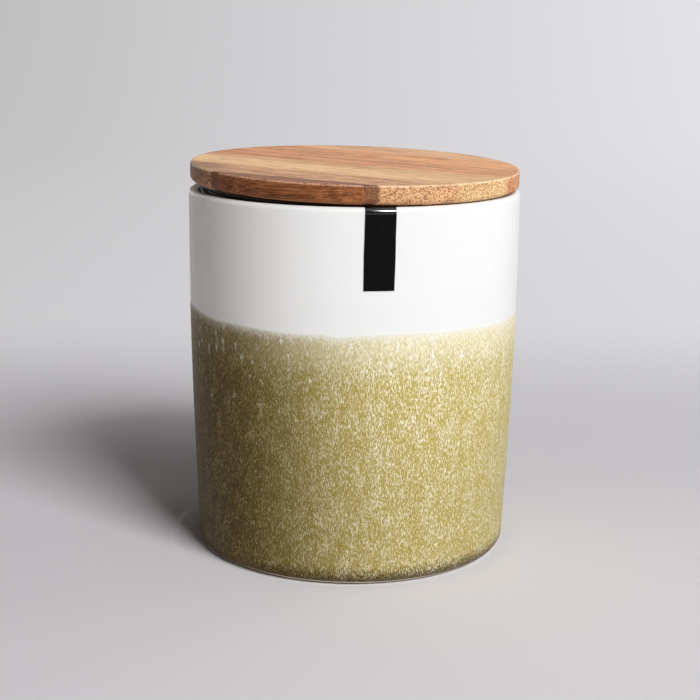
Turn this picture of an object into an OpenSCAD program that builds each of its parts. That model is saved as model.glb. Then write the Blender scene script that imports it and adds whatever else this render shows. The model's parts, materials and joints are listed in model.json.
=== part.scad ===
// Kitchen canister: a stoneware jar with a second glaze on its lower wall, a staved
// wooden lid on a plug with a ribbed seal ring, and a bare label strip over the rim.
// Millimetres, +Z up. The origin is on the table, on the jar's axis; the front is -Y.

/* [Jar] */
// Outer diameter of the upright band under the rim
rim_d = 120; // [100:1:160]
// Height of the jar, from the table to the top of its lip
jar_h = 132; // [110:1:200]
// Height of the upright band, down from the top of the lip
upright_band = 16; // [14:1:40]
// Height of the straight tapered part, up from the table
taper_h = 36; // [15:1:60]
// Lean of the tapered part away from upright, in degrees
taper_angle = 2.3; // [0.5:0.1:5]
// Thickness of the wall, and of the rounded lip
wall_t = 3.6; // [3:0.1:5]
// Thickness of the floor above the foot recess
floor_t = 4.5; // [3:0.1:8]
// Radius of the outer corner at the base
base_round = 4.5; // [3:0.1:6]
// Radius of the corner between the floor and the inner wall
inner_round = 8; // [4:0.5:14]
// Width of the foot ring that touches the table
foot_w = 3.5; // [2:0.1:6]
// Depth of the recess inside the foot ring
foot_recess = 1.5; // [0.5:0.1:3]

/* [Lower glaze] */
// Height at which the lower glaze ends and the white glaze begins
glaze_h = 90; // [40:1:105]
// Height of the bare clay under the lower glaze
bare_h = 0.9; // [0.5:0.1:2]
// Thickness of the lower glaze, let into the wall so that it lies flush
glaze_t = 0.5; // [0.3:0.1:1]

/* [Lid board] */
// How far the edge of the lid board lies inside the rim of the jar
lid_set_in = 0.5; // [0:0.1:3]
// Thickness of the lid board
lid_t = 6.7; // [5:0.1:14]
// Radius of the board's upper edge
lid_top_round = 0.8; // [0.3:0.1:2]
// Radius of the board's lower edge
lid_low_round = 1.9; // [0.5:0.1:2.5]
// Glue lines between the staves, front to back, as shares of the board's radius
stave_edge_shares = [-0.89, -0.52, -0.08, 0.28, 0.64]; // [-0.95:0.01:0.95]
// Turn of the glue lines from the X axis, in degrees
stave_angle = -24; // [-90:1:90]

/* [Lid seat] */
// Lean of the lid, which sits a little askew in the mouth, in degrees
lid_lean = 1.6; // [0:0.1:2]
// Direction of the lid's low side, in degrees from the X axis
lid_low_side = -48; // [-180:1:180]
// Gap between the lid's low side and the label on the rim
seat_gap = 0.1; // [0.05:0.05:0.6]

/* [Plug and seal] */
// Width of the flange that keeps the seal ring on the plug
flange_w = 2; // [1:0.1:2.6]
// Thickness of the flange
flange_t = 3.8; // [2:0.1:8]
// Chamfer of the plug's lower edge
plug_chamfer = 0.8; // [0.3:0.1:1.5]
// Height of the seal ring
seal_h = 7.6; // [6:0.1:8]
// Width of the seal ring, from its bore to the tips of its ribs
seal_w = 4; // [3:0.1:6]
// Thickness of the band that carries the ribs
seal_band_t = 1.6; // [1:0.1:2.2]
// Number of ribs on the seal ring
rib_n = 3; // [2:1:4]
// Thickness of one rib, rounded at its tip
rib_t = 1.7; // [0.8:0.1:1.9]
// Clearance between the seal ring and the pieces around it
seal_gap = 0.3; // [0.2:0.05:0.5]

/* [Label] */
// Width of the label strip
label_w = 10.4; // [6:0.1:25]
// How far the label hangs down outside, from the top of the lip
label_drop = 27.5; // [12:0.5:60]
// How far the label runs down inside, below the rounded lip
label_turn = 1.5; // [0.5:0.1:3]
// Thickness of the label
label_t = 0.15; // [0.1:0.05:0.3]
// Thickness of the adhesive film under the label
glue_t = 0.05; // [0.03:0.01:0.1]
// Place of the label round the jar, in degrees to the right of the front
label_side = 8.4; // [-180:0.1:180]
// Tilt of the label's upper end to the right, in degrees
label_tilt = 0.8; // [-3:0.1:3]

/* [Hidden] */
$fn = 180;

// Colours
white_glaze = [0.93, 0.92, 0.90];
olive_glaze = [0.58, 0.50, 0.28];
label_black = [0.03, 0.03, 0.03];
seal_black = [0.09, 0.09, 0.10];
plug_wood = [0.66, 0.44, 0.27];
stave_woods = [[0.50, 0.32, 0.22], [0.74, 0.53, 0.40], [0.85, 0.66, 0.44],
               [0.72, 0.46, 0.34], [0.80, 0.52, 0.33], [0.84, 0.60, 0.42]];

// Steps on the long wall, on a rounded lip or corner, and on a small edge
wall_steps = 24;
lip_steps = 16;
edge_steps = 8;

// Radii and heights of the jar
rim_r = rim_d / 2;
lip_r = wall_t / 2;
lip_z = jar_h - lip_r;
mouth_r = rim_r - wall_t;
upright_z = jar_h - upright_band;
belly_r = (upright_z - taper_h) / sin(taper_angle);
foot_r = rim_r - belly_r * (1 - cos(taper_angle)) - taper_h * tan(taper_angle);
floor_z = foot_recess + floor_t;
base_x = corner_x(base_round, base_round);
inner_x = corner_x(floor_z + inner_round, wall_t + inner_round);
base_top = base_round * (1 - sin(taper_angle));
inner_top = floor_z + inner_round * (1 - sin(taper_angle));
bare_angle = asin(bare_h / base_round - 1);

// Sizes of the lid in its own frame: the board stands on z = 0, the plug hangs below
lid_r = rim_r - lid_set_in;
lean_drop = (rim_r - lip_r) * sin(lid_lean);
lid_z = jar_h + glue_t + label_t + seat_gap + lean_drop;
groove_h = seal_h + 2 * seal_gap;
plug_h = groove_h + flange_t;
seal_r = mouth_r - seal_gap - (seal_gap + seal_h) * sin(lid_lean);
bore_r = seal_r - seal_w;
neck_r = bore_r - seal_gap;
flange_r = neck_r + flange_w;
rib_pitch = (seal_h - rib_t) / (rib_n - 1);
stave_edges = [-lid_r, for (s = stave_edge_shares) s * lid_r, lid_r];

// Distance from the axis at height z of the tapered wall's line, set in by t
function corner_x(z, t) = foot_r + z * tan(taper_angle) - t / cos(taper_angle);

// Outer radius of the jar at height z: upright, then a long arc, then a straight taper
function wall_r(z) =
    z >= upright_z ? rim_r
    : z <= taper_h ? foot_r + z * tan(taper_angle)
    : rim_r - belly_r + sqrt(belly_r ^ 2 - (upright_z - z) ^ 2);

// Points up the wall from height z0 to z1, set in by t
function wall_points(z0, z1, t) =
    [for (i = [0:wall_steps]) let (z = z0 + (z1 - z0) * i / wall_steps) [wall_r(z) - t, z]];

// Points of an arc round c with radius r, from angle a0 to a1
function arc(c, r, a0, a1, steps) =
    [for (i = [0:steps]) let (a = a0 + (a1 - a0) * i / steps) c + r * [cos(a), sin(a)]];

function backwards(points) = [for (i = [len(points) - 1:-1:0]) points[i]];

// The rounded lip and the wall below it, seen as a skin set out by t from the jar
function label_skin(t) = concat(
    wall_points(jar_h - label_drop, lip_z, -t),
    arc([rim_r - lip_r, lip_z], lip_r + t, 0, 180, lip_steps),
    [[mouth_r - t, lip_z - label_turn]]);

module jar_outline() {
    base_c = [base_x, base_round];
    polygon(concat(
        [[0, foot_recess], [base_x - foot_w - foot_recess, foot_recess], [base_x - foot_w, 0]],
        arc(base_c, base_round, -90, bare_angle, edge_steps),
        arc(base_c, base_round - glaze_t, bare_angle, -taper_angle, edge_steps),
        wall_points(base_top + glaze_t, glaze_h, glaze_t),
        wall_points(glaze_h, lip_z, 0),
        arc([rim_r - lip_r, lip_z], lip_r, 0, 180, lip_steps),
        backwards(wall_points(inner_top, lip_z, wall_t)),
        arc([inner_x, floor_z + inner_round], inner_round, -taper_angle, -90, edge_steps),
        [[0, floor_z]]));
}

module lower_glaze_outline() {
    base_c = [base_x, base_round];
    polygon(concat(
        arc(base_c, base_round, bare_angle, -taper_angle, edge_steps),
        wall_points(base_top + glaze_t, glaze_h, 0),
        backwards(wall_points(base_top + glaze_t, glaze_h, glaze_t)),
        arc(base_c, base_round - glaze_t, -taper_angle, bare_angle, edge_steps)));
}

module lid_board_outline() {
    polygon(concat(
        [[0, 0]],
        arc([lid_r - lid_low_round, lid_low_round], lid_low_round, -90, 0, edge_steps),
        arc([lid_r - lid_top_round, lid_t - lid_top_round], lid_top_round, 0, 90, edge_steps),
        [[0, lid_t]]));
}

// Sets a piece that is drawn in the lid's frame down on the rim, leaning to its low side
module on_rim() {
    translate([0, 0, lid_z])
        rotate(a = lid_lean, v = [-sin(lid_low_side), cos(lid_low_side), 0]) children();
}

module jar() {
    color(white_glaze) rotate_extrude() jar_outline();
}

module lower_glaze() {
    color(olive_glaze) rotate_extrude() lower_glaze_outline();
}

// The skin over the lip, cut to the strip's width at its place round the jar
module label() {
    color(label_black) rotate([0, 0, label_side]) intersection() {
        rotate_extrude() polygon(concat(label_skin(glue_t), backwards(label_skin(glue_t + label_t))));
        translate([0, 0, jar_h]) rotate([0, label_tilt, 0])
            translate([-label_w / 2, -rim_d, -2 * label_drop])
                cube([label_w, rim_d, 3 * label_drop]);
    }
}

// A band with ribs that point outward, on the neck of the plug
module seal_ring() {
    color(seal_black) on_rim() translate([0, 0, -seal_gap - seal_h]) rotate_extrude() {
        translate([bore_r, 0]) square([seal_band_t, seal_h]);
        for (i = [0:rib_n - 1]) translate([0, i * rib_pitch]) {
            translate([bore_r, 0]) square([seal_w - rib_t / 2, rib_t]);
            translate([seal_r - rib_t / 2, rib_t / 2]) circle(d = rib_t);
        }
    }
}

// A turned disc under the board: a neck for the seal ring and a flange below it
module lid_plug() {
    color(plug_wood) on_rim() rotate_extrude() polygon([
        [0, 0], [neck_r, 0], [neck_r, -groove_h], [flange_r, -groove_h],
        [flange_r, plug_chamfer - plug_h], [flange_r - plug_chamfer, -plug_h], [0, -plug_h]]);
}

// Stave i of the board, counted from the front
module lid_stave(i) {
    front = stave_edges[i - 1];
    back = stave_edges[i];
    color(stave_woods[i - 1]) on_rim() intersection() {
        rotate_extrude() lid_board_outline();
        rotate([0, 0, stave_angle]) translate([-2 * lid_r, front, -lid_t])
            cube([4 * lid_r, back - front, 3 * lid_t]);
    }
}

jar();
lower_glaze();
label();
seal_ring();
lid_plug();
lid_stave(1);  // lid_stave_1
lid_stave(2);  // lid_stave_2
lid_stave(3);  // lid_stave_3
lid_stave(4);  // lid_stave_4
lid_stave(5);  // lid_stave_5
lid_stave(6);  // lid_stave_6
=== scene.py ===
"""Kitchen canister: a stoneware jar in white glaze with an olive glaze on its lower wall,
a staved wooden lid with a ribbed seal under it, and a black label strip over the rim.

Metres, +Z up. The origin is on the table under the jar's axis, and the front is -Y.
"""
import json
import math

import bpy
from mathutils import Matrix, Vector


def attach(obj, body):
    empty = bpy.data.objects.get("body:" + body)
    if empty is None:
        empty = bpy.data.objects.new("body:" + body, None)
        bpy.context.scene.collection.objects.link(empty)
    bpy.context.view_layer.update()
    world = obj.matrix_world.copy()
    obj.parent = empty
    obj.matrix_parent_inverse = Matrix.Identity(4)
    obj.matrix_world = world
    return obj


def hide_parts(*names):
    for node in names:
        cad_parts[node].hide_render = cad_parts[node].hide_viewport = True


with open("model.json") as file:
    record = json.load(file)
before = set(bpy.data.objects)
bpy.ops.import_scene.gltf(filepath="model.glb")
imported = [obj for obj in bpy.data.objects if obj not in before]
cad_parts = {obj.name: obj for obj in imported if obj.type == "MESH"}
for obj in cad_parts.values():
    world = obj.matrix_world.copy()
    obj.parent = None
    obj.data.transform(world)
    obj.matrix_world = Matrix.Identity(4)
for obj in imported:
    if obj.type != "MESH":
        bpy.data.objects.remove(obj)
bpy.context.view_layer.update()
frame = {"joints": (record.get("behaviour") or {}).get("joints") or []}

# The jar, as in the part's source
RIM_R = 0.060
JAR_H = 0.132
UPRIGHT_BAND = 0.016
TAPER_H = 0.036
TAPER = math.radians(2.3)
WALL_T = 0.0036
FLOOR_T = 0.0045
BASE_ROUND = 0.0045
INNER_ROUND = 0.008
FOOT_W = 0.0035
FOOT_RECESS = 0.0015
FOOT_EASE = 0.0005

# The olive glaze: the heights of its upper and lower edge, how far it stands proud of the
# wall and is bedded in it, and the length over which its edges are rounded
GLAZE_H = 0.090
BARE_H = 0.0009
GLAZE_PROUD = 0.00012
GLAZE_BED = 0.00030
GLAZE_LIP = 0.0007

# Waves of the glaze's upper edge: degrees round from +X, lift, and reach along the edge
EDGE_WAVES = [(195, 0.0010, 0.026), (226, 0.0002, 0.014), (250, -0.00045, 0.014),
              (266, -0.00080, 0.008), (286, 0.0004, 0.012), (326, -0.00065, 0.022),
              (20, 0.0005, 0.020), (60, -0.0006, 0.022), (100, 0.0007, 0.025),
              (140, -0.0004, 0.020), (165, 0.0003, 0.014)]
# The band of close rows that the waves bend, and how near a wave's own points lie to its place
WAVY_BAND = 0.012
WAVE_PICK = 0.0012

# The lid board and its staves, whose glue lines are shares of its radius
LID_SET_IN = 0.0005
LID_R = RIM_R - LID_SET_IN
LID_T = 0.0067
LID_TOP_ROUND = 0.0008
LID_LOW_ROUND = 0.0019
LID_FLAT_END = 0.0006
STAVE_SHARES = [-1, -0.89, -0.52, -0.08, 0.28, 0.64, 1]
STAVE_ANGLE = math.radians(-24)

# The plug and the seal ring
SEAL_H = 0.0076
SEAL_W = 0.004
SEAL_BAND_T = 0.0016
SEAL_GAP = 0.0003
RIBS = 3
RIB_R = 0.00085
RIB_FILLET = 0.0003
FLANGE_W = 0.002
FLANGE_T = 0.0038
PLUG_CHAMFER = 0.0008
PLUG_EASE = 0.0002

# The label strip, and the degrees that it is turned through before its sides are cut
LABEL_W = 0.0104
LABEL_DROP = 0.0275
LABEL_TURN = 0.0015
LABEL_T = 0.00015
GLUE_T = 0.00005
LABEL_SIDE = math.radians(8.4)
LABEL_TILT = math.radians(0.8)
LABEL_SPAN = 14

# Steps round the axis, and the gap at which points are merged
SIDES = 256
LID_SIDES = 384
LABEL_SIDES = 32
MERGE_GAP = 1e-7

# Worked out from the sizes above
LIP_R = WALL_T / 2
LIP_Z = JAR_H - LIP_R
LIP_CENTRE = (RIM_R - LIP_R, LIP_Z)
MOUTH_R = RIM_R - WALL_T
UPRIGHT_Z = JAR_H - UPRIGHT_BAND
BELLY_R = (UPRIGHT_Z - TAPER_H) / math.sin(TAPER)
FOOT_R = RIM_R - BELLY_R * (1 - math.cos(TAPER)) - TAPER_H * math.tan(TAPER)
FLOOR_Z = FOOT_RECESS + FLOOR_T
BASE_TOP = BASE_ROUND * (1 - math.sin(TAPER))
INNER_TOP = FLOOR_Z + INNER_ROUND * (1 - math.sin(TAPER))

# Degrees on the base's round: where it meets the wall, and where the glaze ends
WALL_ANGLE = -math.degrees(TAPER)
BARE_ANGLE = math.degrees(math.asin(BARE_H / BASE_ROUND - 1))

# Rows of points: the wall's lowest and highest, just clear of the rounds that they run into,
# the one under the glaze's edge, the inner wall's lowest, and how far in the floor's first is
LOW_ROW = BASE_TOP + 0.001
TOP_ROW = LIP_Z - 0.0004
UNDER_EDGE_ROW = GLAZE_H - 0.001
INNER_LOW_ROW = INNER_TOP + 0.0005
FLOOR_STEP = 0.002

# The lid's seat on the rim, from the joint that it turns on
lid_joint = next(joint for joint in frame["joints"] if joint["name"] == "lid_turn")
lid_axis = Vector(lid_joint["axis"]).normalized()
lid_lean = lid_axis.angle(Vector((0, 0, 1)))
lid_turned = Vector((0, 0, 1)).rotation_difference(lid_axis).to_matrix().to_4x4()
lid_seat = Matrix.Translation(lid_joint["pos_m"]) @ lid_turned

# The seal's outer radius, at which its ribs clear the mouth though the lid leans
SEAL_R = MOUTH_R - SEAL_GAP - (SEAL_GAP + SEAL_H) * math.sin(lid_lean)
# The plug's neck, in the seal's bore
NECK_R = SEAL_R - SEAL_W - SEAL_GAP


def taper_x(z, set_in):
    """Distance from the axis at height z of the tapered wall's line, set in."""
    return FOOT_R + z * math.tan(TAPER) - set_in / math.cos(TAPER)


BASE_CENTRE = (taper_x(BASE_ROUND, BASE_ROUND), BASE_ROUND)


def wall_r(z):
    """Outer radius of the jar: upright, then a long arc, then a straight taper."""
    if z >= UPRIGHT_Z:
        return RIM_R
    if z <= TAPER_H:
        return FOOT_R + z * math.tan(TAPER)
    return RIM_R - BELLY_R + math.sqrt(BELLY_R ** 2 - (UPRIGHT_Z - z) ** 2)


def shares(steps):
    """Even shares from 0 to 1."""
    return [step / steps for step in range(steps + 1)]


def wall(low, high, set_in, steps):
    """Points up the wall, set in from its outer face."""
    heights = [low + (high - low) * share for share in shares(steps)]
    return [(wall_r(z) - set_in, z) for z in heights]


def on_arc(centre, radius, degrees):
    """A point of an arc in the profile's plane."""
    angle = math.radians(degrees)
    return (centre[0] + radius * math.cos(angle), centre[1] + radius * math.sin(angle))


def arc(centre, radius, start, end, steps):
    """Points of an arc in the profile's plane, from one angle to another in degrees."""
    return [on_arc(centre, radius, start + (end - start) * share) for share in shares(steps)]


def pick(piece):
    """Selects a piece alone."""
    bpy.ops.object.select_all(action="DESELECT")
    piece.select_set(True)
    bpy.context.view_layer.objects.active = piece


def turn(name, profile, sides=SIDES, span=360):
    """A piece turned on the jar's axis from a profile of radii and heights.

    A profile that starts and ends on the axis is closed by it, and any other is closed
    from its end to its start. A span under 360 degrees is turned evenly about +X.
    """
    if profile[0][0] > 0:
        profile = profile + profile[:1]
    span = math.radians(span)
    out = (math.cos(span / 2), math.sin(span / 2))
    bpy.ops.object.select_all(action="DESELECT")
    bpy.ops.mesh.primitive_plane_add(size=0.001)
    piece = bpy.context.object
    piece.name = name
    bpy.ops.object.mode_set(mode="EDIT")
    bpy.ops.mesh.select_all(action="SELECT")
    bpy.ops.mesh.merge(type="CENTER")
    radius, height = profile[0]
    bpy.ops.transform.translate(value=(radius * out[0], radius * out[1], height))
    for (radius, height), (next_radius, next_height) in zip(profile, profile[1:]):
        step = next_radius - radius
        bpy.ops.mesh.extrude_vertices_move(TRANSFORM_OT_translate={
            "value": (step * out[0], step * out[1], next_height - height)})
    bpy.ops.mesh.select_all(action="SELECT")
    bpy.ops.mesh.spin(steps=sides, angle=span, center=(0, 0, 0), axis=(0, 0, 1),
                      use_auto_merge=False)
    bpy.ops.object.mode_set(mode="OBJECT")
    tidy(piece)
    return piece


def tidy(piece, sharp=35):
    """Merges doubles, turns the faces outward and smooths all but the sharp edges.

    sharp is the angle in degrees from which an edge stays sharp.
    """
    pick(piece)
    bpy.ops.object.mode_set(mode="EDIT")
    bpy.ops.mesh.select_all(action="SELECT")
    bpy.ops.mesh.remove_doubles(threshold=MERGE_GAP)
    bpy.ops.mesh.normals_make_consistent(inside=False)
    bpy.ops.object.mode_set(mode="OBJECT")
    bpy.ops.object.shade_smooth_by_angle(angle=math.radians(sharp))


def cut(piece, point, away):
    """Cuts a piece at a plane, closes it there and drops the side that away points to."""
    pick(piece)
    bpy.ops.object.mode_set(mode="EDIT")
    bpy.ops.mesh.select_all(action="SELECT")
    bpy.ops.mesh.bisect(plane_co=point, plane_no=away, use_fill=True, clear_outer=True)
    bpy.ops.object.mode_set(mode="OBJECT")


def place(piece, seat):
    """Sets a piece down by a matrix and leaves its place in its mesh."""
    pick(piece)
    piece.matrix_world = seat
    bpy.ops.object.transform_apply(location=True, rotation=True, scale=True)


def finish_piece(piece, material, body, node):
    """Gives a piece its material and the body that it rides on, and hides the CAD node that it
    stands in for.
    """
    piece.data.materials.append(material)
    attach(piece, body)
    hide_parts(node)


def maths(operation, reflected=False):
    """One of Tone's operators, which adds a Math node."""
    def operator(tone, other):
        first, second = (other, tone) if reflected else (tone, other)
        return tone.nodes.node("ShaderNodeMath", {"operation": operation}, {0: first, 1: second})
    return operator


class Tone:
    """A value that varies over a surface."""

    def __init__(self, nodes, socket):
        self.nodes = nodes
        self.socket = socket

    __add__ = maths("ADD")
    __radd__ = maths("ADD", reflected=True)
    __sub__ = maths("SUBTRACT")
    __rsub__ = maths("SUBTRACT", reflected=True)
    __mul__ = maths("MULTIPLY")
    __rmul__ = maths("MULTIPLY", reflected=True)
    __truediv__ = maths("DIVIDE")
    __rtruediv__ = maths("DIVIDE", reflected=True)
    __pow__ = maths("POWER")
    __rpow__ = maths("POWER", reflected=True)

    def rise(self, low, high):
        """0 below low and 1 above high, with a soft step between."""
        return self.nodes.node("ShaderNodeMapRange", {"interpolation_type": "SMOOTHSTEP"},
                               {"Value": self, "From Min": low, "From Max": high})


class Nodes:
    """The nodes of a material or of the room."""

    def __init__(self, owner):
        self.owner = owner
        owner.use_nodes = True
        owner.node_tree.nodes.clear()

    def node(self, kind, settings=None, sockets=None, output=0):
        """Adds a node: its settings first, then the values or links of its sockets."""
        made = self.owner.node_tree.nodes.new(kind)
        for setting, value in (settings or {}).items():
            setattr(made, setting, value)
        for socket, value in (sockets or {}).items():
            if isinstance(value, Tone):
                self.owner.node_tree.links.new(value.socket, made.inputs[socket])
            else:
                made.inputs[socket].default_value = value
        return Tone(self, made.outputs[output]) if made.outputs else None


class Finish(Nodes):
    """The nodes of one material, whose spot is the place on the surface."""

    def __init__(self, name):
        super().__init__(bpy.data.materials.new(name))
        self.spot = self.node("ShaderNodeTexCoord", output="Object")

    def parts(self, vector):
        """The x, y and z of a vector."""
        first = self.node("ShaderNodeSeparateXYZ", {}, {"Vector": vector})
        return [Tone(self, socket) for socket in first.socket.node.outputs]

    def grid(self, shift=(0, 0, 0), turn=(0, 0, 0), stretch=(1, 1, 1)):
        """Object coordinates, moved, turned and then stretched along their axes."""
        return self.node("ShaderNodeMapping", {"vector_type": "TEXTURE"},
                         {"Vector": self.spot, "Location": shift, "Rotation": turn,
                          "Scale": stretch})

    def cloud(self, vector, scale, detail=2.0, rough=0.5):
        """Smooth noise from about 0.25 to 0.75, which is finer at a larger scale."""
        return self.node("ShaderNodeTexNoise", {}, {"Vector": vector, "Scale": scale,
                                                    "Detail": detail, "Roughness": rough})

    def dots(self, vector, scale):
        """Distance from the nearest of scattered points, and a chance value for each point."""
        gap = self.node("ShaderNodeTexVoronoi", {}, {"Vector": vector, "Scale": scale})
        chance = self.parts(Tone(self, gap.socket.node.outputs["Color"]))
        return gap, chance[0]

    def blend(self, first, second, share):
        """One colour over another, by a share."""
        return self.node("ShaderNodeMix", {"data_type": "RGBA"},
                         {0: share, 6: first, 7: second}, output=2)

    def bump(self, height, depth):
        """A normal that is tilted by a height from 0 to 1, times a depth in metres."""
        return self.node("ShaderNodeBump", {}, {"Height": height, "Distance": depth})

    def surface(self, **sockets):
        """Ends the nodes in a shader with these sockets, and gives the material."""
        named = {socket.replace("_", " "): value for socket, value in sockets.items()}
        shader = self.node("ShaderNodeBsdfPrincipled", {}, named)
        self.node("ShaderNodeOutputMaterial", {}, {"Surface": shader})
        return self.owner


def colour(red, green, blue):
    """A colour from its parts, as sockets take it."""
    return (red, green, blue, 1)


def shade(tone, share, lift=0.0):
    """A colour at a share of its strength, lifted a little and kept below white."""
    return colour(*[min(0.95, part * share + lift) for part in tone[:3]])


# The direction towards the key light, along which both glazes are painted lighter or darker, as
# shares of right and of front
TO_RIGHT = 0.75
TO_FRONT = 0.66


def front_right(x, y):
    """How far a place lies towards the front right, in metres from the jar's axis."""
    return x * TO_RIGHT - y * TO_FRONT


# The white glaze, its tone painted a shade darker where the light falls on the front right, and
# its clay, each from its darker to its paler spots
WHITE = (colour(0.915, 0.928, 0.922), colour(0.938, 0.951, 0.946))
DIMMED_LIT_WHITE = (colour(0.835, 0.839, 0.832), colour(0.858, 0.863, 0.859))
CLAY = (colour(0.66, 0.58, 0.48), colour(0.82, 0.75, 0.66))
# The radii between which the glazed underside ends and the bare foot ring begins
FOOT_BARE = (0.0485, 0.0492)


def white_glaze():
    """Smooth white glaze, painted a shade darker on the lit front right, and bare clay on the
    foot ring.
    """
    glaze = Finish("white_glaze")
    x, y, z = glaze.parts(glaze.spot)
    drift = glaze.cloud(glaze.spot, scale=28)
    # Painted shade: the white is a little darker on the front right, where the key light falls
    # most, so that the lit side stays below white
    painted_dimming = front_right(x, y).rise(0.020, 0.058)
    white = glaze.blend(glaze.blend(*WHITE, drift), glaze.blend(*DIMMED_LIT_WHITE, drift), painted_dimming)
    clay = glaze.blend(*CLAY, glaze.cloud(glaze.spot, scale=1600, detail=3))
    ragged = (glaze.cloud(glaze.spot, scale=300) - 0.5) * 0.0006
    outward = (x * x + y * y) ** 0.5
    unglazed = (BARE_H - z + ragged).rise(-0.00008, 0.00008) * outward.rise(*FOOT_BARE)
    swell = glaze.cloud(glaze.spot, scale=90, detail=1)
    return glaze.surface(
        Base_Color=glaze.blend(white, clay, unglazed),
        Roughness=0.34 + drift * 0.06 + unglazed * 0.4,
        Normal=glaze.bump(swell, depth=0.00002),
    )


# The olive glaze's tones, each first in painted shade, as on the left, and then in painted light,
# as on the front right and where the glaze thins near its top
POOL = (colour(0.070, 0.046, 0.011), colour(0.49, 0.380, 0.088))
PALE_RUN = (colour(0.21, 0.158, 0.045), colour(0.88, 0.81, 0.53))
BRIGHT_RUN = (colour(0.42, 0.33, 0.10), colour(0.94, 0.91, 0.77))
DROP = (colour(0.56, 0.51, 0.36), colour(0.94, 0.93, 0.84))
RUST = colour(0.42, 0.24, 0.06)
VEIL = colour(0.84, 0.78, 0.55)
CREAM = colour(0.89, 0.87, 0.77)
MELTED_SHADE = colour(0.82, 0.815, 0.79)
FOOT_SHADE_BROWN = colour(0.070, 0.044, 0.010)
EDGE_CLAY = colour(0.80, 0.70, 0.52)
# How far the veil, the cream and the melted edge, painted a shade darker, reach down from the
# glaze's upper edge
VEIL_DEPTH = 0.020
CREAM_DEPTH = 0.0042
MELTED_SHADE_DEPTH = 0.0020
# Heights between which the painted shade round the foot and the clay at the lowest edge fade out
FOOT_SHADE_BAND = (0.0022, 0.0078)
CLAY_BAND = (0.0012, 0.0015)
# Steps in the cover at which it turns into a pale run and into a bright one
PALE_STEP = (0.500, 0.575)
BRIGHT_STEP = (0.565, 0.61)


def olive_glaze():
    """Olive glaze broken by fine pale runs, creamy where it thins out at the top, with painted
    light on the front right and painted shade on the left and round the foot.
    """
    glaze = Finish("olive_glaze")
    x, y, z = glaze.parts(glaze.spot)
    below = glaze.node("ShaderNodeAttribute", {"attribute_name": "below_edge"}, output="Fac")
    runs = glaze.cloud(glaze.grid(stretch=(1, 1, 4.4)), scale=3600, detail=2, rough=0.6)
    specks = glaze.cloud(glaze.grid(shift=(0.02, 0.01, 0), stretch=(1, 1, 1.8)),
                         scale=4800, detail=1)
    patches = glaze.cloud(glaze.grid(stretch=(1, 1, 2.3)), scale=250, detail=3)

    # The glaze is painted palest on the front right, where the light falls, of a middle tone at
    # the back and darkest on the left, as shade;
    # besides this it is thinner near its upper edge and thicker towards the foot
    lower = below.rise(0.010, 0.075)
    upper = 1 - below.rise(0.0, 0.050)
    painted_light_and_thin = front_right(x, y).rise(-0.034, 0.056) ** 2.5
    painted_light_and_thin = painted_light_and_thin * (1 - lower * 0.17) + y.rise(-0.005, 0.045) * 0.5 + upper * 0.06

    # The runs lie thick or thin by one cover, from which the drops take their ragged rims
    near_top = 1 - below.rise(0.0, 0.022)
    cover = runs * 0.70 + specks * 0.30 + (patches - 0.5) * 0.14 + near_top * 0.03
    pale_run = (cover + painted_light_and_thin * 0.01).rise(*PALE_STEP)
    bright_run = cover.rise(*BRIGHT_STEP)
    drop_gap, drop_luck = glaze.dots(glaze.grid(stretch=(1, 1, 2.6)), scale=430)
    drops = (1 - (drop_gap - (cover - 0.5) * 1.7).rise(0.08, 0.24)) * drop_luck.rise(0.30, 0.40)
    drops = drops * (0.85 - below.rise(0.006, 0.040) * 0.70)

    # Between the runs: rusty patches, a pale veil at the top and a brown band of painted shade
    # round the foot
    foot_shade = 1 - (z + (runs - 0.5) * 0.008).rise(*FOOT_SHADE_BAND)
    pool = glaze.blend(*POOL, painted_light_and_thin)
    pool = glaze.blend(pool, RUST, patches.rise(0.55, 0.75) * painted_light_and_thin * 0.4)
    veil = (1 - (below / VEIL_DEPTH - (runs - 0.5)).rise(0.0, 1.0)) * (painted_light_and_thin + 0.10)
    pool = glaze.blend(pool, VEIL, veil * 0.7)
    pool = glaze.blend(pool, FOOT_SHADE_BROWN, foot_shade * 0.95)

    # The runs and drops over it, dimmed by the painted shade round the foot
    run_tone = glaze.blend(glaze.blend(*PALE_RUN, painted_light_and_thin ** 1.15), FOOT_SHADE_BROWN, foot_shade * 0.8)
    body = glaze.blend(pool, run_tone, pale_run * 0.9)
    bright_tone = glaze.blend(*BRIGHT_RUN, painted_light_and_thin ** 1.2)
    body = glaze.blend(body, bright_tone, bright_run * (1 - foot_shade * 0.75) * 0.85)
    body = glaze.blend(body, glaze.blend(*DROP, painted_light_and_thin ** 0.5), drops)

    # The upper edge melts into the white and is painted a shade darker along its rim, and the
    # lowest breaks to the colour of the clay
    cream = 1 - (below / CREAM_DEPTH - (cover - 0.5) * 3).rise(-0.2, 1.0)
    body = glaze.blend(body, CREAM, cream * (painted_light_and_thin ** 0.4 * 0.5 + 0.30))
    melted_shade = 1 - (below / MELTED_SHADE_DEPTH - (runs - 0.5) * 0.8).rise(-0.1, 1.0)
    body = glaze.blend(body, MELTED_SHADE, melted_shade * 0.85)
    body = glaze.blend(body, EDGE_CLAY, 1 - z.rise(*CLAY_BAND))
    return glaze.surface(
        Base_Color=body,
        Roughness=0.40 + pale_run * 0.12,
        Specular_IOR_Level=0.12,
        Normal=glaze.bump(cover + drops * 0.2, depth=0.00010),
    )


FILM_BLACK = (colour(0.004, 0.0037, 0.0036), colour(0.008, 0.0075, 0.0073))


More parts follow.
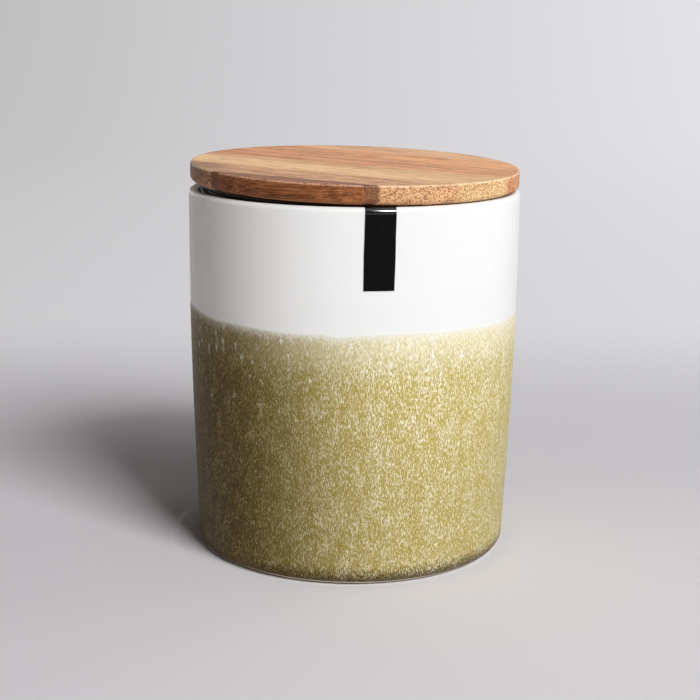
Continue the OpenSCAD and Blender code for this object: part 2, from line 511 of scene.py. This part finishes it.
def label_film():
    """Black satin film, which shines where it is bent over the lip."""
    film = Finish("label_film")
    height = film.parts(film.spot)[2]
    smudge = film.cloud(film.spot, scale=160, detail=3)
    ripple = film.cloud(film.spot, scale=120, detail=1)
    return film.surface(
        Base_Color=film.blend(*FILM_BLACK, smudge),
        Roughness=0.20 + smudge * 0.16,
        Specular_IOR_Level=0.03,
        Coat_IOR=1.9,
        Coat_Weight=height.rise(LIP_Z - 0.0006, LIP_Z + 0.0002),
        Coat_Roughness=0.12,
        Normal=film.bump(ripple, depth=0.00004),
    )


RUBBER_BLACK = (colour(0.016, 0.016, 0.017), colour(0.034, 0.033, 0.034))


def silicone():
    """Black silicone with a soft sheen."""
    rubber = Finish("silicone")
    dust = rubber.cloud(rubber.spot, scale=900, detail=3)
    return rubber.surface(
        Base_Color=rubber.blend(*RUBBER_BLACK, dust),
        Roughness=0.40 + dust * 0.20,
        Normal=rubber.bump(dust, depth=0.00003),
    )


# The pale tone of the painted highlight on the sanded edge, and the dark tone of a mineral streak
SANDED_HIGHLIGHT = (0.95, 0.76, 0.64)
MINERAL = colour(0.13, 0.036, 0.014)
# Steps in the noise: between early and late wood, and to light and dark flecks and fibres
RING_STEP = (0.43, 0.58)
LIGHT_FLECK = (0.50, 0.62)
DARK_FLECK = (0.38, 0.49)
LIGHT_FIBRE = (0.53, 0.66)
DARK_FIBRE = (0.34, 0.48)


def oiled_wood(name, pale, dark, pith, ring_scale, figure, streaks, drift=0.0, mark=None):
    """Wood with its grain along the staves: growth rings round a pith, fibres and pores.

    pith is the place of the tree's heart, seen from the stave, ring_scale how close the
    rings lie, figure how strongly they show, streaks how strongly the fibres do, and drift
    how far the grain strays, in degrees. mark is a dark mineral streak, by its place across
    the lid and its half width, and wood that has one is painted darker towards its left
    end, as shade.
    """
    wood = Finish(name)
    light = shade(pale, 1.3, lift=0.02)
    deep = shade(dark, 0.30)
    turned = (0, 0, STAVE_ANGLE + math.radians(drift))

    def grain(stretch=(1, 1, 1)):
        """Places in the log, with X along the grain."""
        return wood.grid(shift=pith, turn=turned, stretch=stretch)

    # Growth rings, long bands, short flecks and fine fibres
    along, across, up = wood.parts(grain())
    long_warp = wood.cloud(grain((6, 1, 1)), scale=55, detail=2)
    heart = (across * across + up * up) ** 0.5 + (long_warp - 0.5) * 0.006
    ring_spot = wood.node("ShaderNodeCombineXYZ", {}, {"X": heart, "Y": along * 0.02})
    rings = wood.cloud(ring_spot, ring_scale, detail=3, rough=0.55)
    bands = wood.cloud(grain((30, 1, 1)), scale=260, detail=2)
    body = wood.blend(pale, dark, rings.rise(*RING_STEP) * figure
                      + bands.rise(*RING_STEP) * (1 - figure))
    flecks = wood.cloud(grain((7, 1, 0.4)), scale=760, detail=3, rough=0.7)
    body = wood.blend(body, light, flecks.rise(*LIGHT_FLECK) * streaks * 0.7)
    body = wood.blend(body, deep, (1 - flecks.rise(*DARK_FLECK)) * streaks * 0.45)
    fibres = wood.cloud(grain((22, 1, 1)), scale=1700, detail=3, rough=0.6)
    body = wood.blend(body, light, fibres.rise(*LIGHT_FIBRE) * streaks * 0.45)
    body = wood.blend(body, deep, (1 - fibres.rise(*DARK_FIBRE)) * streaks * 0.6)

    # End grain: where the surface faces along the grain, the cut pores are dark specks
    facing = wood.node("ShaderNodeTexCoord", output="Normal")
    face_x, face_y, face_up = wood.parts(facing)
    end = (face_x * math.cos(STAVE_ANGLE) + face_y * math.sin(STAVE_ANGLE)) ** 2
    end = end.rise(0.10, 0.45)
    cut_pores = wood.cloud(grain(), scale=2400, detail=1, rough=0.5)
    body = wood.blend(body, light, end * cut_pores.rise(0.52, 0.60) * 0.7)
    body = wood.blend(body, deep, end * (1 - cut_pores.rise(0.38, 0.46)) * 0.7)

    # The eased upper edge is sanded smoother, and painted paler as a highlight
    eased = face_up.rise(0.12, 0.35) * (1 - face_up.rise(0.90, 0.995))
    edge_highlight = colour(*[part * 0.6 + 0.4 * highlight_part for part, highlight_part in zip(light, SANDED_HIGHLIGHT)])
    body = wood.blend(body, edge_highlight, eased * cut_pores.rise(0.38, 0.52) * 0.9)

    if mark:
        place_across, half_width = mark
        to_right, aside = wood.parts(wood.grid(turn=(0, 0, STAVE_ANGLE)))[:2]
        aside = aside - place_across + (long_warp - 0.5) * 0.001
        streak = 1 - (aside * aside).rise((half_width * 0.8) ** 2, (half_width * 1.1) ** 2)
        streak = streak * (0.85 - end * cut_pores.rise(0.50, 0.60) * 0.4)
        # Painted shade: the wood is darker towards the stave's left end
        left_end_shade = (-0.020 - to_right).rise(0.0, 0.030) * 0.6
        body = wood.blend(body, MINERAL, streak)
        body = wood.blend(body, deep, left_end_shade)
    return wood.surface(
        Base_Color=body,
        Roughness=0.36 + fibres * 0.16 + end * 0.15 - eased * 0.14,
        Specular_IOR_Level=0.25,
        Normal=wood.bump(fibres * 0.5 + flecks * 0.5, depth=0.00010),
    )


def jar_body():
    """The jar: underside, foot ring, outer wall, lip, inner wall and floor."""
    inner = (taper_x(FLOOR_Z + INNER_ROUND, WALL_T + INNER_ROUND), FLOOR_Z + INNER_ROUND)
    foot_in = BASE_CENTRE[0] - FOOT_W
    recess = foot_in - FOOT_RECESS
    # The recess and the foot ring's inner slope, whose two ends are eased
    profile = [(0, FOOT_RECESS), (recess - FOOT_EASE, FOOT_RECESS)]
    profile += [(recess + FOOT_EASE * 0.3, FOOT_RECESS - FOOT_EASE * 0.4)]
    profile += [(foot_in - FOOT_EASE * 0.7, FOOT_EASE * 0.8)]
    profile += [(foot_in - FOOT_EASE * 0.1, FOOT_EASE * 0.18), (foot_in + FOOT_EASE, 0)]
    profile += arc(BASE_CENTRE, BASE_ROUND, -90, WALL_ANGLE, steps=14)
    profile += wall(LOW_ROW, UNDER_EDGE_ROW, 0, steps=24)
    profile += wall(GLAZE_H, TOP_ROW, 0, steps=8)
    profile += arc(LIP_CENTRE, LIP_R, 0, 180, steps=20)
    profile += wall(TOP_ROW, INNER_LOW_ROW, WALL_T, steps=20)
    profile += arc(inner, INNER_ROUND, WALL_ANGLE, -90, steps=14)
    profile += [(inner[0] - FLOOR_STEP, FLOOR_Z), (inner[0] * 0.5, FLOOR_Z), (0, FLOOR_Z)]
    return turn("jar_body", profile)


def glaze_section():
    """The section of the olive coat: its outer face with both rounded edges, then its bed."""
    def proud(swell):
        """How far an edge stands out from the wall, where it has swollen to a share."""
        return -GLAZE_BED / 2 + (GLAZE_PROUD + GLAZE_BED / 2) * swell

    wall_path = wall(LOW_ROW, GLAZE_H - WAVY_BAND, 0, steps=20)[:-1]
    wall_path += wall(GLAZE_H - WAVY_BAND, GLAZE_H - GLAZE_LIP, 0, steps=12)
    edge_turn = math.degrees(GLAZE_LIP / BASE_ROUND)
    outer = []
    for share in shares(5):
        radius = BASE_ROUND + proud(math.sqrt(1 - (1 - share) ** 2))
        outer.append(on_arc(BASE_CENTRE, radius, BARE_ANGLE + edge_turn * share))
    outer += arc(BASE_CENTRE, BASE_ROUND + GLAZE_PROUD, BARE_ANGLE + edge_turn, WALL_ANGLE,
                 steps=14)[1:]
    outer += [(radius + GLAZE_PROUD, z) for radius, z in wall_path]
    for share in shares(6)[1:]:
        z = GLAZE_H - GLAZE_LIP * (1 - share)
        outer.append((wall_r(z) + proud(math.sqrt(1 - share ** 2)), z))
    inner = [(wall_r(GLAZE_H) - GLAZE_BED, GLAZE_H)]
    inner += [(radius - GLAZE_BED, z) for radius, z in reversed(wall_path)]
    inner += arc(BASE_CENTRE, BASE_ROUND - GLAZE_BED, WALL_ANGLE, BARE_ANGLE, steps=14)
    return outer + inner


def glaze_coat():
    """The olive glaze as a thin coat on the wall, whose upper edge is pulled into waves."""
    coat = turn("glaze_coat", glaze_section())
    below = coat.data.attributes.new("below_edge", "FLOAT", "POINT")
    below.data.foreach_set("value", [GLAZE_H - vertex.co.z for vertex in coat.data.vertices])
    pick(coat)
    for degrees, lift, reach in EDGE_WAVES:
        angle = math.radians(degrees)
        spot = Vector((wall_r(GLAZE_H) * math.cos(angle), wall_r(GLAZE_H) * math.sin(angle)))
        bpy.ops.object.mode_set(mode="EDIT")
        bpy.ops.mesh.select_all(action="DESELECT")
        bpy.ops.object.mode_set(mode="OBJECT")
        for vertex in coat.data.vertices:
            on_edge = vertex.co.z > GLAZE_H - GLAZE_LIP * 0.5
            vertex.select = on_edge and (vertex.co.xy - spot).length < WAVE_PICK
        bpy.ops.object.mode_set(mode="EDIT")
        bpy.ops.transform.translate(value=(0, 0, lift), use_proportional_edit=True,
                                    proportional_edit_falloff="SMOOTH",
                                    proportional_size=reach)
        bpy.ops.object.mode_set(mode="OBJECT")
    return coat


def label_strip():
    """A strip of film that follows the outer wall, goes over the lip and ends inside."""
    def skin(out):
        """One face of the film, out from the jar's own surface."""
        points = wall(JAR_H - LABEL_DROP, TOP_ROW, -out, steps=24)
        points += arc(LIP_CENTRE, LIP_R + out, 0, 180, steps=24)
        return points + [(MOUTH_R - out, LIP_Z - LABEL_TURN)]

    section = skin(GLUE_T + LABEL_T) + list(reversed(skin(GLUE_T)))
    strip = turn("label_strip", section, LABEL_SIDES, LABEL_SPAN)
    place(strip, Matrix.Rotation(math.radians(-90), 4, "Z"))
    lean = Matrix.Rotation(LABEL_TILT, 4, "Y")
    for side in (-1, 1):
        edge = Vector((0, 0, JAR_H)) + lean @ Vector((side * LABEL_W / 2, 0, 0))
        cut(strip, edge, lean @ Vector((side, 0, 0)))
    place(strip, Matrix.Rotation(LABEL_SIDE, 4, "Z"))
    tidy(strip)
    return strip


def seal_profile():
    """The seal ring's section, from the top of its bore down and up over its ribs."""
    top = -SEAL_GAP
    low = top - SEAL_H
    bore = SEAL_R - SEAL_W
    hollow = bore + SEAL_BAND_T + RIB_FILLET
    pitch = (SEAL_H - 2 * RIB_R) / (RIBS - 1)
    points = [(bore, top), (bore, low)]
    for rib in range(RIBS):
        middle = low + RIB_R + pitch * rib
        if rib > 0:
            points += arc((hollow, middle - RIB_R - RIB_FILLET), RIB_FILLET, 180, 90, steps=4)
        points += arc((SEAL_R - RIB_R, middle), RIB_R, -90, 90, steps=12)
        if rib < RIBS - 1:
            points += arc((hollow, middle + RIB_R + RIB_FILLET), RIB_FILLET, 270, 180, steps=4)
    return points


def plug_profile():
    """The plug's section: a neck in the seal's bore, and a chamfered flange under it."""
    flange = NECK_R + FLANGE_W
    groove = SEAL_H + 2 * SEAL_GAP
    low = -groove - FLANGE_T
    inset = PLUG_CHAMFER * 0.35
    return [(0, 0), (NECK_R, 0), (NECK_R, -groove), (flange - PLUG_EASE, -groove),
            (flange, -groove - PLUG_EASE), (flange, low + PLUG_CHAMFER),
            (flange - inset, low + inset), (flange - PLUG_CHAMFER, low),
            (flange - PLUG_CHAMFER * 2, low), (0, low)]


def lid_board():
    """The whole board, with a small round at the top of its edge and a larger one below."""
    profile = [(0, 0), (LID_R - LID_LOW_ROUND - LID_FLAT_END, 0)]
    profile += arc((LID_R - LID_LOW_ROUND, LID_LOW_ROUND), LID_LOW_ROUND, -90, 0, steps=10)
    profile += arc((LID_R - LID_TOP_ROUND, LID_T - LID_TOP_ROUND), LID_TOP_ROUND, 0, 90, steps=8)
    profile += [(LID_R - LID_TOP_ROUND - LID_FLAT_END, LID_T), (0, LID_T)]
    return turn("lid_board", profile, LID_SIDES)


def lid_staves():
    """Six staves, each a copy of the board that is cut at its glue lines."""
    board = lid_board()
    back = Vector((-math.sin(STAVE_ANGLE), math.cos(STAVE_ANGLE), 0))
    made = []
    for number, (front_share, back_share) in enumerate(zip(STAVE_SHARES, STAVE_SHARES[1:]), 1):
        pick(board)
        bpy.ops.object.duplicate()
        stave = bpy.context.object
        stave.name = f"stave_{number}"
        if front_share > -1:
            cut(stave, back * LID_R * front_share, -back)
        if back_share < 1:
            cut(stave, back * LID_R * back_share, back)
        place(stave, lid_seat)
        tidy(stave, sharp=20)
        made.append(stave)
    bpy.data.objects.remove(board)
    return made


finish_piece(jar_body(), white_glaze(), "jar", "jar")
finish_piece(glaze_coat(), olive_glaze(), "jar", "lower_glaze")
finish_piece(label_strip(), label_film(), "jar", "label")

seal = turn("seal", seal_profile())
place(seal, lid_seat)
finish_piece(seal, silicone(), "seal", "seal_ring")

plug = turn("plug", plug_profile())
place(plug, lid_seat)
plug_wood = oiled_wood("plug_wood", pale=colour(0.62, 0.34, 0.15), dark=colour(0.40, 0.19, 0.075),
                       pith=(0.3, 0.05, 0.02), ring_scale=260, figure=0.6, streaks=0.7)
finish_piece(plug, plug_wood, "lid", "lid_plug")

# The mineral streak beside the first glue line: its place across the lid and its half width
STREAK = (-0.0525, 0.0018)
STAVE_WOODS = [
    oiled_wood("stave_wood_1", pale=colour(0.34, 0.120, 0.037), dark=colour(0.16, 0.049, 0.013),
               pith=(0.1, -0.09, -0.02), ring_scale=420, figure=0.5, streaks=0.9, drift=1),
    oiled_wood("stave_wood_2", pale=colour(0.84, 0.44, 0.22), dark=colour(0.40, 0.165, 0.070),
               pith=(0.2, -0.07, 0.03), ring_scale=330, figure=0.5, streaks=1.0, drift=-2,
               mark=STREAK),
    oiled_wood("stave_wood_3", pale=colour(0.93, 0.56, 0.28), dark=colour(0.68, 0.33, 0.135),
               pith=(-0.1, 0.06, -0.05), ring_scale=300, figure=0.6, streaks=0.7, drift=2),
    oiled_wood("stave_wood_4", pale=colour(0.86, 0.39, 0.17), dark=colour(0.50, 0.165, 0.058),
               pith=(0.3, 0.02, 0.04), ring_scale=380, figure=0.7, streaks=0.7, drift=-1),
    oiled_wood("stave_wood_5", pale=colour(0.92, 0.43, 0.18), dark=colour(0.54, 0.18, 0.062),
               pith=(0.0, 0.09, -0.03), ring_scale=360, figure=0.7, streaks=0.7, drift=1),
    oiled_wood("stave_wood_6", pale=colour(0.94, 0.51, 0.27), dark=colour(0.58, 0.24, 0.100),
               pith=(0.1, 0.03, 0.05), ring_scale=300, figure=0.6, streaks=0.7, drift=-1),
]
for number, (stave, wood) in enumerate(zip(lid_staves(), STAVE_WOODS), 1):
    finish_piece(stave, wood, "lid", f"lid_stave_{number}")


# The paper's grain, and the tones of its painted light far off, darker on the left and brighter
# on the right: the left one at a distance to the left of the canister, and the right one a span
# from there
PAPER = (colour(0.742, 0.728, 0.759), colour(0.778, 0.763, 0.797))
FAR_PAPER_GLOW = (colour(0.52, 0.508, 0.517), colour(0.80, 0.785, 0.81))
FAR_LEFT = 0.62
FAR_SPAN = 1.3
# The sheet: the width and depth that lie flat, how far the middle of these is to the front,
# and the radius, steps and upright height of the bend behind
SHEET_W = 24
SHEET_D = 13
SHEET_TO_FRONT = 5.0
BEND_R = 0.6
BEND_STEPS = 16
SHEET_RISE = 2


def seen_directly(sheet):
    """1 for rays from the camera, and for those in gloss and glass, and 0 for light."""
    rays = [sheet.node("ShaderNodeLightPath", output=ray)
            for ray in ("Is Camera Ray", "Is Glossy Ray", "Is Transmission Ray")]
    return (rays[0] + rays[1] + rays[2]).rise(0, 1)


def paper():
    """Pale matte paper; far off from the canister it glows for the camera with painted light,
    brighter to the right.
    """
    sheet = Finish("studio_paper")
    across, away, up = sheet.parts(sheet.spot)
    tone = sheet.blend(*PAPER, sheet.cloud(sheet.spot, scale=900, detail=3))
    near = sheet.node("ShaderNodeBsdfPrincipled", {},
                      {"Base Color": tone, "Roughness": 0.9, "Specular IOR Level": 0.2})
    # Painted light: far off, the paper glows for the camera, darker on the left and brighter on
    # the right
    far_glow_tone = sheet.blend(*FAR_PAPER_GLOW, (across + FAR_LEFT) / FAR_SPAN)
    far_glow = sheet.node("ShaderNodeBsdfPrincipled", {},
                     {"Base Color": colour(0, 0, 0), "Emission Color": far_glow_tone,
                      "Emission Strength": 1.0, "Specular IOR Level": 0.0})
    behind = (away + up).rise(0.07, 0.42)
    around = ((across * across + away * away) ** 0.5).rise(0.40, 1.0)
    glow_share = (behind + around - behind * around) * seen_directly(sheet)
    both = sheet.node("ShaderNodeMixShader", {}, {0: glow_share, 1: near, 2: far_glow})
    sheet.node("ShaderNodeOutputMaterial", {}, {"Surface": both})
    return sheet.owner


def studio_sweep():
    """A sheet of paper that lies flat under the canister and curves up far behind it."""
    bpy.ops.object.select_all(action="DESELECT")
    bpy.ops.mesh.primitive_plane_add(size=1)
    sweep = bpy.context.object
    sweep.name = "studio_sweep"
    sweep.scale = (SHEET_W, SHEET_D, 1)
    sweep.location = (0, -SHEET_TO_FRONT, 0)
    bpy.ops.object.transform_apply(location=True, rotation=True, scale=True)
    bpy.ops.object.mode_set(mode="EDIT")
    bpy.ops.mesh.select_all(action="DESELECT")
    bpy.ops.object.mode_set(mode="OBJECT")
    for edge in sweep.data.edges:
        edge.select = all(sweep.data.vertices[v].co.y > 0 for v in edge.vertices)
    for vertex in sweep.data.vertices:
        vertex.select = vertex.co.y > 0
    bpy.ops.object.mode_set(mode="EDIT")
    bend = math.radians(90) / BEND_STEPS
    length = 2 * BEND_R * math.sin(bend / 2)
    for step in range(BEND_STEPS):
        tilt = bend * (step + 0.5)
        bpy.ops.mesh.extrude_region()
        bpy.ops.transform.translate(value=(0, length * math.cos(tilt), length * math.sin(tilt)))
    bpy.ops.mesh.extrude_region()
    bpy.ops.transform.translate(value=(0, 0, SHEET_RISE))
    bpy.ops.object.mode_set(mode="OBJECT")
    tidy(sweep, sharp=60)
    sweep.data.materials.append(paper())


def soft_box(name, side, rise, distance, width, watts, tint=(1, 1, 1)):
    """A square lamp that faces the middle of the canister.

    side is its place in degrees round from the front to the right, and rise in degrees up.
    """
    aim = Vector((0, 0, JAR_H / 2))
    side, rise = math.radians(side), math.radians(rise)
    out = Vector((math.sin(side) * math.cos(rise), -math.cos(side) * math.cos(rise),
                  math.sin(rise)))
    bpy.ops.object.light_add(type="AREA", location=aim + out * distance)
    lamp = bpy.context.object
    lamp.name = name
    lamp.rotation_euler = out.to_track_quat("Z", "Y").to_euler()
    lamp.visible_camera = False
    lamp.data.shape = "SQUARE"
    lamp.data.size = width
    lamp.data.energy = watts
    lamp.data.color = tint


def lid_lamp(height, watts, half_cone, tint):
    """A narrow lamp straight above, whose cone, in degrees, takes in only the lid."""
    bpy.ops.object.light_add(type="SPOT", location=(0, 0, height))
    lamp = bpy.context.object
    lamp.name = "lid_lamp"
    lamp.data.spot_size = math.radians(half_cone) * 2
    lamp.data.spot_blend = 0.03
    lamp.data.shadow_soft_size = 0.003
    lamp.data.energy = watts
    lamp.data.color = tint


# The room's faint warm light and the pale tone in which the camera sees it
ROOM_LIGHT = colour(1, 0.88, 0.78)
ROOM_STRENGTH = 0.015
ROOM_SEEN = colour(0.66, 0.645, 0.655)


def studio_room():
    """The room: pale where the camera sees it, and a faint warm light all round."""
    room = Nodes(bpy.data.worlds.new("room"))
    light = room.node("ShaderNodeBackground", {},
                      {"Color": ROOM_LIGHT, "Strength": ROOM_STRENGTH})
    seen = room.node("ShaderNodeBackground", {}, {"Color": ROOM_SEEN})
    by_camera = room.node("ShaderNodeLightPath", output="Is Camera Ray")
    both = room.node("ShaderNodeMixShader", {}, {0: by_camera, 1: light, 2: seen})
    room.node("ShaderNodeOutputWorld", {}, {"Surface": both})
    bpy.context.scene.world = room.owner


studio_sweep()
soft_box("key", side=33, rise=38, distance=1.8, width=0.72, watts=31.2, tint=(1, 1, 0.995))
soft_box("side", side=115, rise=11, distance=1.6, width=0.87, watts=4.1)
soft_box("fill", side=-62, rise=8, distance=1.8, width=0.62, watts=1.2, tint=(1, 0.61, 0.34))
soft_box("top", side=30, rise=72, distance=1.6, width=0.87, watts=1.6)
soft_box("back", side=-150, rise=6, distance=1.8, width=0.4, watts=1.6)
lid_lamp(height=1.2, watts=8.7, half_cone=3.2, tint=(1, 0.93, 0.80))
studio_room()

# The camera: its place, its angles in radians, and its lens and sensor in millimetres
CAMERA_AT = (0, -0.5458, 0.1937)
CAMERA_TURN = -0.0018
CAMERA_DOWN = 0.2208
CAMERA_ROLL = 0.0113
CAMERA_LENS = 77.17
SENSOR_W = 36

ahead = Vector((math.sin(CAMERA_TURN) * math.cos(CAMERA_DOWN),
                math.cos(CAMERA_TURN) * math.cos(CAMERA_DOWN), -math.sin(CAMERA_DOWN)))
level = Vector((math.cos(CAMERA_TURN), -math.sin(CAMERA_TURN), 0))
upward = level.cross(ahead)
right = level * math.cos(CAMERA_ROLL) + upward * math.sin(CAMERA_ROLL)
upward = right.cross(ahead)
bpy.ops.object.camera_add(location=CAMERA_AT)
camera = bpy.context.object
camera.name = "camera"
camera.matrix_world = Matrix.Translation(CAMERA_AT) @ Matrix(
    (right, upward, -ahead)).transposed().to_4x4()
camera.data.lens = CAMERA_LENS
camera.data.sensor_width = SENSOR_W
bpy.context.scene.camera = camera
bpy.context.scene.view_settings.view_transform = "Standard"
